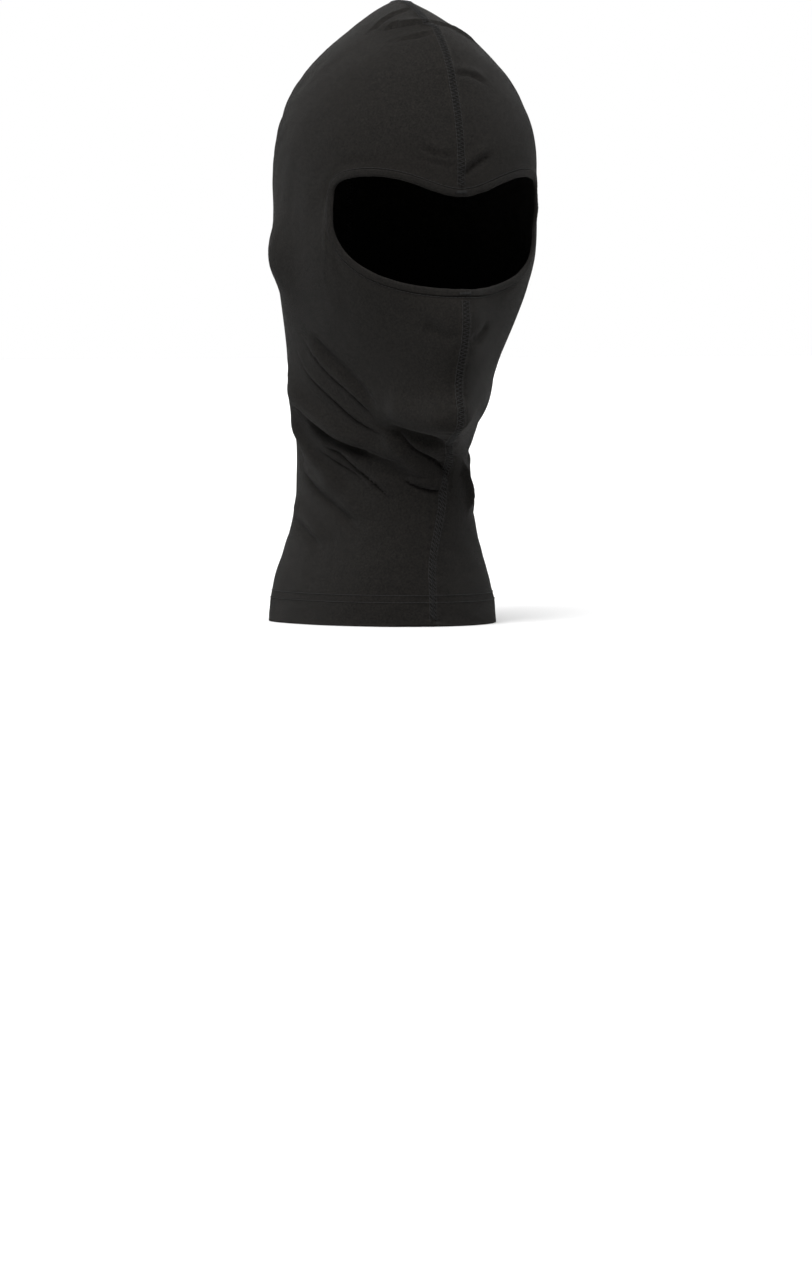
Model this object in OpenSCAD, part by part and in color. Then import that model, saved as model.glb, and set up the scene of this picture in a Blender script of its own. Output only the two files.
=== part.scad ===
// Close-fitting knit hood with one eye opening, in its worn shape, standing on its neck hem.
// Millimetres. Z is up, the face looks towards -Y, and the wearer's right side is -X.

/* [Overall] */
// Width over the temples
head_w = 151; // [136:1:168]
// Length from forehead to back of head
head_l = 196; // [176:1:216]
// Height from the neck hem to the underside of the chin
neck_h = 112; // [90:1:140]
// Height from the chin to the widest level of the head
face_h = 162; // [145:1:180]
// Height of the rounded crown above the widest level
crown_h = 81; // [72:1:98]
// How far the seamed crown stands up as a ridge
ridge_h = 16; // [6:1:20]
// Width over which the ridge fades out to each side
ridge_w = 30; // [22:1:42]

/* [Face] */
// How far the nose lifts the cloth
nose_out = 16; // [10:1:22]
// Height of the nose tip above the chin
nose_z = 64; // [52:1:74]
// Half width of the lift over the nose
nose_w = 21; // [15:1:28]
// How far the chin lifts the cloth
chin_out = 9; // [3:1:14]
// How far the ears lift the cloth
ear_out = 8; // [2:1:13]
// Height of the ears above the chin
ear_z = 106; // [92:1:120]

/* [Jaw and neck] */
// Width over the jaw
jaw_w = 116; // [104:1:136]
// How much the jaw narrows towards the chin, as a share
jaw_taper = 0.55; // [0.2:0.05:0.6]
// Width of the neck under the jaw
neck_w = 98; // [86:1:126]
// Width at the neck hem
hem_w = 134; // [116:1:160]
// Front of the face at the chin, ahead of the head's middle
chin_front = 84; // [74:1:94]
// Front of the neck under the chin
neck_front = 40; // [30:1:52]
// Front of the hem
hem_front = 48; // [38:1:64]
// Back of the neck at the nape
nape_back = 100; // [88:1:108]
// Back of the hem
hem_back = 102; // [88:1:112]
// How far the middle of the neck lies behind the middle of the head
neck_shift = 50; // [30:1:56]

/* [Eye opening] */
// Width of the eye opening around the face, as an angle each side
eye_angle = 58; // [46:1:64]
// Height of the eye opening
eye_h = 64; // [46:1:72]
// Height of the opening's middle above the chin
eye_z = 120; // [112:1:126]
// How far the outer corners sit above the middle
corner_rise = 17; // [6:1:20]
// How far the upper edge dips at the seam
brow_dip = 10; // [2:1:14]

/* [Cloth and hems] */
// Thickness of the knit
cloth_t = 1; // [0.8:0.1:1.4]
// Gap between the two butted cloth edges in a seam
butt_gap = 0.2; // [0.1:0.05:0.4]
// Width of the bound eye hem
bind_w = 4.2; // [3.6:0.1:6]
// Thickness of the binding strip
bind_t = 0.8; // [0.6:0.1:1]
// Diameter of the elastic in the eye hem
elastic_d = 0.9; // [0.7:0.1:1.2]
// Height of the turned-up neck hem
hem_h = 20; // [14:1:28]
// Gap between the layers of a hem
layer_gap = 0.3; // [0.2:0.05:0.5]

/* [Stitching] */
// Thread diameter
thread_d = 0.5; // [0.35:0.05:0.7]
// Distance between the two needle rows of a flatlock seam
row_w = 4.6; // [3:0.1:6]
// Length of one zigzag of the cover thread
cover_pitch = 7; // [5:0.5:12]
// Distance from the eye binding to its stitch line
stitch_set = 0.9; // [0.6:0.1:1.6]
// Length of a bar tack
tack_l = 6.5; // [5:0.5:9]
// Width of a bar tack
tack_w = 1.6; // [1.2:0.1:2.2]

/* [Care label] */
// Width of the label
label_w = 24; // [16:1:34]
// Height of the label
label_h = 32; // [20:1:44]
// Thickness of the label
label_t = 0.4; // [0.3:0.05:0.6]
// Height of the label's lower edge above the hem
label_z = 34; // [30:1:50]

/* [Hidden] */

knit = [0.16, 0.16, 0.17];
thread = [0.10, 0.10, 0.11];
label_grey = [0.55, 0.55, 0.56];

columns = 32;       // columns of faces across one half of the hood
crowding = 0.45;    // how much closer together the columns are near the crown seam
rows = 38;          // rows of faces from the eye hem to the neck hem
edge_step = 0.002;  // step for slopes, as a share of the crown-to-hem path
lift = 0.2;         // how far threads lie clear of the cloth
chord_room = 0.4;   // extra room for threads that run across the flat faces
first_row = 0.4;    // from the eye binding to the panel's first full row
seam_gap = 2.4;     // from the eye binding to the first stitch of a seam
hem_gap = 2;        // from the floor to the last stitch of a seam
roll = 0.7;         // how far the binding's edge rolls in, as a share of its thickness
tack_t = 0.6;       // height of a bar tack
label_inset = 1.5;  // from the label's edge to its stitches

widest_z = neck_h + face_h;
crown_share = crown_h * PI / 2 / (crown_h * PI / 2 + widest_z);
hem_inner = 2 * cloth_t + layer_gap;
cloth_slot = cloth_t + layer_gap;
elastic_set = bind_t + 0.1 + elastic_d / 2;
panel_set = bind_t + 0.2 + elastic_d;

// Levels between which the width and depth change.
flare_top = neck_h * 0.75;
jaw_low = neck_h - 8;
jaw_top = neck_h + 30;
temple_low = neck_h + face_h * 0.74;
brow_z = neck_h + face_h * 0.85;

// Reach of the lifts over nose, chin and ears.
nose_up = 36;
nose_down = 27;
chin_z = neck_h + 15;
chin_w = 25;
chin_reach = 15;
ear_y = 14;
ear_long = 17;
ear_tall = 21;

// ---- The shape of the worn hood ----
// A place on the hood is a point in a disc: the crown is its middle, the neck hem is its rim,
// and -Y in the disc is the face.

function step(a, b, z) = let (s = min(1, max(0, (z - a) / (b - a)))) s * s * (3 - 2 * s);
function bump(d, w) = exp(-pow(d / w, 2));

function half_width(z) = hem_w / 2
    + (neck_w - hem_w) / 2 * step(0, flare_top, z)
    + (jaw_w - neck_w) / 2 * step(jaw_low, jaw_top, z)
    + (head_w - jaw_w) / 2 * step(jaw_top, temple_low, z);

function front(z) = hem_front
    + (neck_front - hem_front) * step(0, flare_top, z)
    + (chin_front - neck_front) * step(neck_h - 24, neck_h + 12, z)
    + (head_l / 2 - 3 - chin_front) * step(neck_h + 20, brow_z, z);

function back(z) = hem_back
    + (nape_back - hem_back) * step(0, neck_h * 0.8, z)
    + (head_l / 2 + 3 - nape_back) * step(neck_h + 10, neck_h + face_h * 0.8, z);

function middle(z) = neck_shift * (1 - step(neck_h - 10, neck_h + face_h * 0.7, z));
function taper(z) = jaw_taper * step(neck_h - 34, neck_h + 5, z)
    * (1 - step(neck_h - 10, neck_h + face_h * 0.5, z));

function height(t) = t < crown_share
    ? widest_z + crown_h * cos(90 * t / crown_share)
    : widest_z * (1 - t) / (1 - crown_share);

function depth(z) = z > widest_z
    ? crown_share * acos(min(1, (z - widest_z) / crown_h)) / 90
    : 1 - (1 - crown_share) * z / widest_z;

function shrink(t) = t < crown_share ? sin(90 * t / crown_share) : 1;

// How far the nose and the chin push the cloth forwards, and the ears sideways.
function face_push(x, z) =
    nose_out * bump(x, nose_w) * bump(z - neck_h - nose_z, z > neck_h + nose_z ? nose_up : nose_down)
    + chin_out * bump(x, chin_w) * bump(z - chin_z, chin_reach);
function ear_push(y, z) = ear_out * bump(y - ear_y, ear_long) * bump(z - neck_h - ear_z, ear_tall);

function worn(p) = let (
    t = norm(p),
    a = t < 1e-6 ? 0 : atan2(p[0], -p[1]),
    z = height(t),
    k = shrink(t),
    mid = middle(z),
    reach = cos(a) > 0 ? front(z) + mid : back(z) - mid,
    ahead = max(0, cos(a)),
    x = half_width(z) * k * sin(a) * (1 - taper(z) * ahead * ahead),
    y = k * (mid - reach * cos(a)),
    aside = pow(sin(a), 2) * sign(x),
    crest = ridge_h * exp(-pow(abs(x) / ridge_w, 1.5)) * bump(y, head_l * 0.48) * step(1, 0.75, k))
    [x + aside * ear_push(y, z), y - ahead * face_push(x, z), z + crest];

// The worn shape, moved so that its foremost and rearmost points are equally far from the origin.
seam_ys = [for (i = [-200 : 200]) worn([0, i / 200])[1]];
centre_y = (min(seam_ys) + max(seam_ys)) / 2;
function cloth(p) = worn(p) - [0, centre_y, 0];

function slope_x(p) = (cloth(p + [edge_step, 0]) - cloth(p - [edge_step, 0])) / (2 * edge_step);
function slope_y(p) = (cloth(p + [0, edge_step]) - cloth(p - [0, edge_step])) / (2 * edge_step);
function unit(v) = v / norm(v);
function outward(p) = unit(cross(slope_x(p), slope_y(p)));
function skin(p, off) = cloth(p) + off * outward(p);

// The place reached from p by a short step d along the cloth.
function walk(p, d) = let (
    sx = slope_x(p), sy = slope_y(p),
    e = sx * sx, f = sx * sy, g = sy * sy, det = e * g - f * f)
    p + [g * (d * sx) - f * (d * sy), e * (d * sy) - f * (d * sx)] / det;

// ---- The eye opening's edge, from the lower seam (0) round to the upper seam (180) ----

function eye_edge(a) = let (
    round = 1 + 0.12 * pow(sin(2 * a), 2),
    turn = eye_angle * sin(a) * round,
    up = 180 - abs(180 - a),
    dip = brow_dip * bump(turn, 22) * step(90, 150, up),
    z = neck_h + eye_z - eye_h / 2 * cos(a) * round + corner_rise * pow(sin(a), 2) - dip,
    t = depth(z))
    [t * sin(turn), -t * cos(turn)];

function edge_run(a) = unit(cloth(eye_edge(a + 0.5)) - cloth(eye_edge(a - 0.5)));
function edge_away(a) = unit(cross(edge_run(a), outward(eye_edge(a))));
function beside_eye(a, d) = walk(eye_edge(a), edge_away(a) * d);

function rim(a, z) = depth(z) * [sin(a), -cos(a)];

// Turn of column i around the hood: columns run 0 to 180 on the left half, then on to 360.
function turn_of(i) = i > columns
    ? 360 - turn_of(2 * columns - i)
    : 180 * ((1 - crowding) * i / columns + crowding * sin(90 * i / columns));

// ---- Swept solids ----

// Closed solid through rings of points. Each ring runs the same way round.
module rings(loops, closed = false) {
    n = len(loops);
    m = len(loops[0]);
    last = closed ? n : n - 1;
    sides = [for (i = [0 : last - 1]) for (j = [0 : m - 1]) let (
        a = i * m + j, b = i * m + (j + 1) % m,
        c = ((i + 1) % n) * m + (j + 1) % m, d = ((i + 1) % n) * m + j)
        each [[a, b, c], [a, c, d]]];
    caps = closed ? [] : [[for (j = [m - 1 : -1 : 0]) j], [for (j = [0 : m - 1]) (n - 1) * m + j]];
    polyhedron(points = [for (l = loops) each l], faces = concat(sides, caps), convexity = 10);
}

// Round thread along a path. ups are the outward directions at its points.
function thread_loops(path, ups, closed = false) = let (n = len(path)) [for (i = [0 : n - 1]) let (
    before = closed ? path[(i + n - 1) % n] : path[max(0, i - 1)],
    after = closed ? path[(i + 1) % n] : path[min(n - 1, i + 1)],
    side = unit(cross(after - before, ups[i])),
    up = unit(cross(side, after - before)),
    r = thread_d / 2)
    [path[i] + r * up, path[i] - r * side, path[i] - r * up, path[i] + r * side]];

module thread_along(places, off, closed = false) {
    path = [for (p = places) skin(p, off)];
    ups = [for (p = places) outward(p)];
    rings(thread_loops(path, ups, closed), closed);
}

// ---- Panels ----

// Places of one column, from the eye edge down to the hem, as [outer place, outer offset,
// inner place, inner offset]. The last rows turn the hem up inside.
function column_rows(a) = let (
    top = beside_eye(a, bind_w + first_row),
    low = rim(a, hem_h))
    concat(
        [let (p = beside_eye(a, panel_set)) [p, 0, p, -cloth_t]],
        [for (j = [0 : rows]) let (p = top + (low - top) * j / rows) [p, 0, p, -cloth_t]],
        [let (p = rim(a, hem_h / 2)) [p, 0, p, -cloth_t]],
        [[rim(a, 0), 0, rim(a, cloth_t), -cloth_t]],
        [[rim(a, 0), -hem_inner, rim(a, cloth_t), -cloth_slot]],
        [for (z = [hem_h / 2, hem_h]) let (p = rim(a, z)) [p, -hem_inner, p, -cloth_slot]]);

// Keeps a point clear of the butted edge, and on the floor where its place is the rim.
function settle(v, p) = [
    max(v[0], butt_gap / 2),
    v[1],
    norm(p) > 1 - 1e-6 ? 0 : v[2]];

module half_hood() {
    cols = [for (i = [0 : columns]) column_rows(turn_of(i))];
    n = len(cols[0]);
    outer = [for (c = cols) [for (r = c) settle(skin(r[0], r[1]), r[0])]];
    inner = [for (c = cols) [for (r = c) settle(skin(r[2], r[3]), r[2])]];
    loops = [for (i = [0 : columns]) concat(outer[i], [for (j = [n - 1 : -1 : 0]) inner[i][j]])];
    m = 2 * n;
    sides = [for (i = [0 : columns - 1]) for (j = [0 : m - 1]) let (
        a = i * m + j, b = i * m + (j + 1) % m,
        c = (i + 1) * m + (j + 1) % m, d = (i + 1) * m + j)
        each [[a, c, b], [a, d, c]]];
    ends = [for (j = [0 : n - 2]) each [
        [j, j + 1, m - 2 - j], [j, m - 2 - j, m - 1 - j]]];
    far = [for (f = ends) [for (k = [2 : -1 : 0]) columns * m + f[k]]];
    polyhedron(points = [for (l = loops) each l], faces = concat(sides, ends, far), convexity = 10);
}

module left_panel() {
    color(knit) half_hood();
}

module right_panel() {
    color(knit) mirror([1, 0, 0]) half_hood();
}

// ---- Flatlock seams ----
// A seam place is at disc height py on the middle line, moved x to one side.

function seam_place(py, x) = let (
    t = max(abs(py), 1e-4))
    [x * t / (half_width(height(t)) * shrink(t)), py];

eye_low = beside_eye(0, bind_w + seam_gap)[1];
eye_high = beside_eye(180, bind_w + seam_gap)[1];
hem_low = depth(hem_gap);

module needle_rows(py0, py1, count) {
    for (s = [-1, 1])
        thread_along([for (i = [0 : count]) seam_place(py0 + (py1 - py0) * i / count, s * row_w / 2)],
            lift + thread_d / 2);
}

module cover_rows(py0, py1, count) {
    thread_along([for (i = [0 : count])
        seam_place(py0 + (py1 - py0) * i / count, (i % 2 == 0 ? -1 : 1) * (row_w / 2 - thread_d * 1.3))],
        lift + thread_d / 2);
}

// Path lengths along the crown and the front, for the number of stitches.
function path_length(py0, py1, n = 40) = let (
    pts = [for (i = [0 : n]) cloth([0, py0 + (py1 - py0) * i / n])],
    parts = [for (i = [1 : n]) norm(pts[i] - pts[i - 1])])
    parts * [for (i = [1 : n]) 1];

crown_run = path_length(eye_high, hem_low);
front_run = path_length(eye_low, -hem_low);

module crown_seam_needle_threads() {
    color(thread) needle_rows(eye_high, hem_low, round(crown_run / 8));
}

module crown_seam_cover_thread() {
    color(thread) cover_rows(eye_high, hem_low, 2 * round(crown_run / cover_pitch));
}

module front_seam_needle_threads() {
    color(thread) needle_rows(eye_low, -hem_low, round(front_run / 6));
}

module front_seam_cover_thread() {
    color(thread) cover_rows(eye_low, -hem_low, 2 * round(front_run / cover_pitch));
}

// ---- Eye hem ----

turns = [for (i = [0 : 2 * columns - 1]) turn_of(i)];

// Point near the eye edge: d away from the opening along the cloth, off outwards.
function by_eye(a, d, off) = cloth(eye_edge(a)) + edge_away(a) * d + outward(eye_edge(a)) * off;

module eye_hem_binding() {
    half = cloth_slot / 2;
    mid = -cloth_t / 2;
    profile = [
        [bind_w, mid + half], [bind_w, mid + half + bind_t],
        [bind_t * roll, mid + half + bind_t], [0, mid + half * roll],
        [0, mid - half * roll], [bind_t * roll, mid - half - bind_t],
        [bind_w, mid - half - bind_t], [bind_w, mid - half],
        [bind_t, mid - half], [bind_t, mid + half]];
    color(knit) rings([for (a = turns) [for (q = profile) by_eye(a, q[0], q[1])]], closed = true);
}

module eye_hem_elastic() {
    sides = 6;
    color(label_grey) rings([for (a = turns) [for (k = [sides : -1 : 1])
        by_eye(a, elastic_set + elastic_d / 2 * cos(360 * k / sides),
            -cloth_t / 2 + elastic_d / 2 * sin(360 * k / sides))]], closed = true);
}

module eye_hem_stitching() {
    color(thread) thread_along([for (a = turns) beside_eye(a, bind_w + stitch_set)],
        lift + thread_d / 2, closed = true);
}

module bar_tack(a) {
    top = -cloth_t / 2 + cloth_slot / 2 + bind_t + 0.1;
    place = cloth(eye_edge(a));
    away = edge_away(a);
    up = outward(eye_edge(a));
    loops = [for (x = [-1, -0.7, 0, 0.7, 1]) let (w = tack_w / 2 * sqrt(1.15 - x * x))
        [for (q = [[-w, 0], [-w * roll, tack_t], [w * roll, tack_t], [w, 0]])
            place + [x * tack_l / 2, 0, 0] + away * (bind_w / 2 + 0.3 + q[0]) + up * (top + q[1])]];
    rings(loops);
}

module upper_bar_tack() {
    color(thread) bar_tack(180);
}

module lower_bar_tack() {
    color(thread) bar_tack(0);
}

// ---- Neck hem stitching ----

module neck_hem_needle_threads() {
    color(thread) for (z = [hem_h - 1 - row_w, hem_h - 1])
        thread_along([for (a = turns) rim(a, z)], lift + thread_d / 2 + chord_room, closed = true);
}

module neck_hem_cover_thread() {
    color(thread) thread_along([for (i = [0 : 4 * columns - 1])
        rim(turn_of(i / 2), hem_h - 1 - (i % 2 == 0 ? 0 : row_w))],
        -hem_inner - lift - thread_d / 2 - chord_room, closed = true);
}

// ---- Care label ----

function back_place(x, z) = seam_place(depth(z), x);

module care_label() {
    xs = [for (i = [-3 : 3]) label_w / 2 * i / 3];
    color(label_grey) rings([for (x = xs) let (
        outer = [for (k = [0 : 2]) skin(back_place(x, label_z + label_h * k / 2), -cloth_slot)],
        inner = [for (k = [2 : -1 : 0]) skin(back_place(x, label_z + label_h * k / 2), -cloth_slot - label_t)])
        concat(outer, inner)]);
}

module care_label_stitches() {
    xs = [for (i = [-3 : 3]) (label_w / 2 - label_inset) * i / 3];
    color(thread) for (z = [label_z + label_inset, label_z + label_h - label_inset])
        thread_along([for (x = xs) back_place(x, z)], -cloth_slot - label_t - lift - thread_d / 2);
}

right_panel();
left_panel();
crown_seam_needle_threads();
crown_seam_cover_thread();
front_seam_needle_threads();
front_seam_cover_thread();
eye_hem_binding();
eye_hem_elastic();
eye_hem_stitching();
upper_bar_tack();
lower_bar_tack();
neck_hem_needle_threads();
neck_hem_cover_thread();
care_label();
care_label_stitches();
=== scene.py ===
# %% [markdown]
# # A knit balaclava in the shape it has when worn
# The hood is two half panels of thin stretch knit, joined by flatlock seams down the middle,
# with a rolled eye hem and a turned-up neck hem. The CAD frame holds its size and its plain
# form. Here the same form becomes cloth: the skin of the CAD panels is read as a smooth net of
# points, the neck is simulated so that it creases, and the seams, stitches and hems are made
# along the result.

# %% Load the frame and keep its size
import math

import bmesh
import bpy
import numpy as np
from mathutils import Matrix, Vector


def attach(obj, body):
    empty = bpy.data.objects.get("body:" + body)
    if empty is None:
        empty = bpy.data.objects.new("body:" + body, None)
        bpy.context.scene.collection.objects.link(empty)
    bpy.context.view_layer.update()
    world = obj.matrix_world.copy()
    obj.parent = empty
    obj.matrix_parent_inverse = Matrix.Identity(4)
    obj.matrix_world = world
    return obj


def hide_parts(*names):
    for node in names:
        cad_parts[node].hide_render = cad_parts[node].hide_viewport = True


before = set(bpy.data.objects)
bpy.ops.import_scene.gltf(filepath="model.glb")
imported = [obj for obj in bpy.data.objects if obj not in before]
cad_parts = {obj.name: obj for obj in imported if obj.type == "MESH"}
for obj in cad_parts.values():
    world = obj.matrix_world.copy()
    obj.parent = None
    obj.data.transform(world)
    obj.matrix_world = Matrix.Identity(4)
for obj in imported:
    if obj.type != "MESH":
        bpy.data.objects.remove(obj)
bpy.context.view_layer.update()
MM = 0.001

# %% [markdown]
# ## Camera
# The hood is seen a little from its right, nearly level. A long lens from five metres away keeps
# the perspective flat. The frame is tall, and the hood fills its upper half.

# %% Camera
CAMERA_TURN = math.radians(-20)
CAMERA_DISTANCE = 5.0
CAMERA_HEIGHT = 0.22
AIM = Vector((0, 0, -0.0098))
LENS = 235.5


def add_camera():
    data = bpy.data.cameras.new("camera")
    data.lens = LENS
    data.sensor_width = 36
    data.clip_end = 50
    cam = bpy.data.objects.new("camera", data)
    bpy.context.scene.collection.objects.link(cam)
    cam.location = (math.sin(CAMERA_TURN) * CAMERA_DISTANCE,
                    -math.cos(CAMERA_TURN) * CAMERA_DISTANCE, CAMERA_HEIGHT)
    cam.rotation_mode = "QUATERNION"
    cam.rotation_quaternion = (AIM - cam.location).to_track_quat("-Z", "Y")
    bpy.context.scene.camera = cam
    return cam


camera = add_camera()
print("camera at", [round(v, 3) for v in camera.location])

# %% [markdown]
# ## Reading the panels
# A CAD panel comes as loose triangles. Its outer skin is a net: columns of points run from the
# eye hem to the neck hem, side by side from the front seam round to the crown seam. The skin is
# found by spreading from its widest face without crossing a sharp edge. Then each column is read
# off from the one before it, through the triangles between them.

# %% Read the net of points of a panel's outer skin
SHARP = math.radians(50)
BUTT = 0.2 * MM


def skin_faces(bm):
    start = max(bm.faces, key=lambda f: abs(f.calc_center_median().x))
    skin, front = {start}, [start]
    while front:
        face = front.pop()
        for edge in face.edges:
            for other in edge.link_faces:
                if other not in skin and edge.calc_face_angle(math.pi) < SHARP:
                    skin.add(other)
                    front.append(other)
    return skin


def read_net(node):
    bm = bmesh.new()
    bm.from_mesh(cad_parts[node].data)
    bmesh.ops.remove_doubles(bm, verts=bm.verts, dist=1e-6)
    skin = skin_faces(bm)
    seam = {v for f in skin for v in f.verts if abs(v.co.x) < BUTT}
    nose = min(seam, key=lambda v: v.co.y)
    column, grow = {nose}, [nose]
    while grow:
        v = grow.pop()
        for edge in v.link_edges:
            w = edge.other_vert(v)
            if w in seam and w not in column and any(f in skin for f in edge.link_faces):
                column.add(w)
                grow.append(w)
    columns = [sorted(column, key=lambda v: -v.co.z)]
    before = set()

    def third(a, b, known):
        for f in set(a.link_faces) & set(b.link_faces) & skin:
            for v in f.verts:
                if v not in known and v not in (a, b):
                    return v
        return None

    while True:
        last = columns[-1]
        known = before | set(last)
        column = [None] + [third(a, b, known) for a, b in zip(last, last[1:])]
        if column[1] is None:
            break
        column[0] = third(last[0], column[1], known)
        before = set(last)
        columns.append(column)
    points = np.array([[v.co[:] for v in c] for c in columns])
    bm.free()
    return points


left_net, right_net = read_net("left_panel"), read_net("right_panel")
print("net of each panel:", left_net.shape[0], "columns of", left_net.shape[1], "points")

# %% [markdown]
# ## One smooth ring
# The two nets are joined at the seams to one ring of columns round the hood. Smooth curves
# through its points give as fine a net as a piece needs.

# %% Join the nets and refine them


def smooth_at(points, knots, spots):
    """Smooth curve through points, which lie at knots, read at spots."""
    slopes = np.gradient(points, knots, axis=0)
    i = np.clip(np.searchsorted(knots, spots, side="right") - 1, 0, len(knots) - 2)
    h = (knots[i + 1] - knots[i]).reshape(-1, *[1] * (points.ndim - 1))
    f = ((spots - knots[i]) / (knots[i + 1] - knots[i])).reshape(h.shape)
    return ((2 * f ** 3 - 3 * f ** 2 + 1) * points[i] + (f ** 3 - 2 * f ** 2 + f) * h * slopes[i]
            + (3 * f ** 2 - 2 * f ** 3) * points[i + 1] + (f ** 3 - f ** 2) * h * slopes[i + 1])


def lengths_of(line):
    """Length along a line of points, up to each of them."""
    return np.concatenate([[0], np.cumsum(np.linalg.norm(np.diff(line, axis=0), axis=1))])


def between(x, run, points):
    """Points of a line read at x, where run is each point's own place along it."""
    return np.stack([np.interp(x, run, points[:, k]) for k in range(3)], axis=-1)


def detail_at(points):
    """How much closer together the rows lie where the cloth is creased: neck and crown."""
    neck = 1 - fade(0.120, 0.190, points[:, 2])
    crown = fade(0.290, 0.330, points[:, 2]) * (1 - fade(0.000, 0.060, points[:, 1]))
    return 0.8 + 0.9 * np.maximum(neck, crown)


def refine_columns(net, shares):
    """The same columns, with points at these shares of each column's weighted length."""
    out = []
    for column in net:
        steps = np.diff(lengths_of(column)) * detail_at((column[1:] + column[:-1]) / 2)
        length = np.concatenate([[0], np.cumsum(steps)])
        out.append(smooth_at(column, length / length[-1], shares))
    return np.array(out)


def refine_ring(ring, spots):
    """New columns at these spots round the ring, counted in its columns."""
    n = len(ring)
    padded = np.concatenate([ring[-3:], ring, ring[:4]])
    return smooth_at(padded, np.arange(-3, n + 4), np.asarray(spots, float))


def joined_ring():
    ring = np.concatenate([left_net, right_net[-2:0:-1]])
    for seam, other in ((0, right_net[0]), (len(left_net) - 1, right_net[-1])):
        ring[seam] = (left_net[seam] + other) / 2
        ring[seam, :, 0] = 0
    return ring


cad_ring = joined_ring()
HALF = len(left_net) - 1
print("ring:", cad_ring.shape)

# %% Helpers for nets and meshes


def unit(v):
    return v / np.maximum(np.linalg.norm(v, axis=-1, keepdims=True), 1e-12)


def normals_of(net, closed=True):
    """Outward direction at each point of a net."""
    across = np.roll(net, -1, 0) - np.roll(net, 1, 0) if closed else np.gradient(net, axis=0)
    return unit(np.cross(np.gradient(net, axis=1), across))


def fade(low, high, x):
    """0 below low, 1 above high, smooth between."""
    s = np.clip((x - low) / (high - low), 0, 1)
    return s * s * (3 - 2 * s)


def add_grid(bm, net, closed=False, around=False, uv=None, marks=None, solid=False):
    """A grid bent to a net of points. closed joins the last column to the first, and around
    the last row to the first. uv is a net of places on the flat cloth, marks named numbers."""
    columns, rows = net.shape[:2]
    nx, ny = columns - 1 + closed, rows - 1 + around
    number = bm.verts.layers.int["place"]
    flat = bm.loops.layers.uv["cloth"]
    made = bmesh.ops.create_grid(bm, x_segments=nx, y_segments=ny, size=0.5)["verts"]
    place = {v: (round((v.co.x + 0.5) * nx), round((v.co.y + 0.5) * ny)) for v in made}
    faces = {f for v in made for f in v.link_faces}
    for f in faces:
        for loop in f.loops:
            i, j = place[loop.vert]
            loop[flat].uv = (i / nx, j / ny) if uv is None else uv[i, j]
    for v, (i, j) in place.items():
        v.co = net[i % columns, j % rows]
        v[number] = (i % columns) * rows + j % rows
        for key in marks or {}:
            v[bm.verts.layers.float[key]] = marks[key][i % columns, j % rows]
    bmesh.ops.reverse_faces(bm, faces=list(faces))
    if closed or around:
        bmesh.ops.remove_doubles(bm, verts=made, dist=1e-8)
    if solid:
        bmesh.ops.recalc_face_normals(bm, faces=[f for f in faces if f.is_valid])


def mesh_of(name, grids, keys=()):
    """One piece made of one or more grids, each given as add_grid takes it."""
    bm = bmesh.new()
    bm.verts.layers.int.new("place")
    for key in keys:
        bm.verts.layers.float.new(key)
    bm.loops.layers.uv.new("cloth")
    for grid in grids:
        add_grid(bm, **grid)
    mesh = bpy.data.meshes.new(name)
    bm.to_mesh(mesh)
    bm.free()
    mesh.shade_smooth()
    obj = bpy.data.objects.new(name, mesh)
    bpy.context.scene.collection.objects.link(obj)
    return obj


def softened(field, rounds):
    """Each value averaged with its neighbours in a ring net, so many times."""
    for _ in range(rounds):
        field = (field + np.roll(field, 1, 0) + np.roll(field, -1, 0)) / 3
        edge = np.concatenate([field[:, :1], field, field[:, -1:]], axis=1)
        field = (edge[:, :-2] + edge[:, 1:-1] + edge[:, 2:]) / 3
    return field


def smooth_noise(shape, rounds, seed):
    """Soft random bumps over a ring net, between about -1 and 1."""
    noise = softened(np.random.default_rng(seed).standard_normal(shape), rounds)
    return noise / (2.5 * noise.std())


# %% [markdown]
# ## Creasing the neck
# Over the head the knit is stretched and lies smooth. Round the neck it is slack: the tube is
# longer than the way from jaw to collar, and the neck leans forwards, so the slack lies in folds
# that slope down to the throat. Cloth simulation makes them. The cloth's cut is the CAD shape
# drawn longer along the neck, and the points of head and hem are held in place. A second net
# just inside stands in for the neck, so that the folds come outwards.

# %% Simulate the slack cloth of the neck
SIM_COLUMNS, SIM_ROWS = 132, 96
SIM_FRAMES = 30
NECK_LEAN = math.radians(34)
JAW = Vector((0, -0.030, 0.128))
SLACK = 0.20
NECK_GAP = 3 * MM
MOST_MOVE = 7 * MM


def below_jaw(points):
    """How far a point lies below the jaw, measured along the leaning neck. Negative below."""
    axis = np.array((0, -math.sin(NECK_LEAN), math.cos(NECK_LEAN)))
    return (points - np.array(JAW)) @ axis, axis


def longer_cut(net):
    """The shape before the slack is pushed together: drawn longer along the neck."""
    below, axis = below_jaw(net)
    throat = np.exp(-(net[..., 0] / 0.030) ** 2) * (1 - fade(-0.030, 0.010, net[..., 1]))
    reach = np.minimum(below + 0.012, 0) * SLACK * (1 - 0.6 * throat)
    return net + reach[..., None] * axis


def hold_weights(net):
    below, _ = below_jaw(net)
    head = fade(-0.012, 0.028, below)
    hem = 1 - fade(0.018, 0.042, net[..., 2])
    return np.clip(np.maximum(head, hem), 0, 1)


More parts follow.
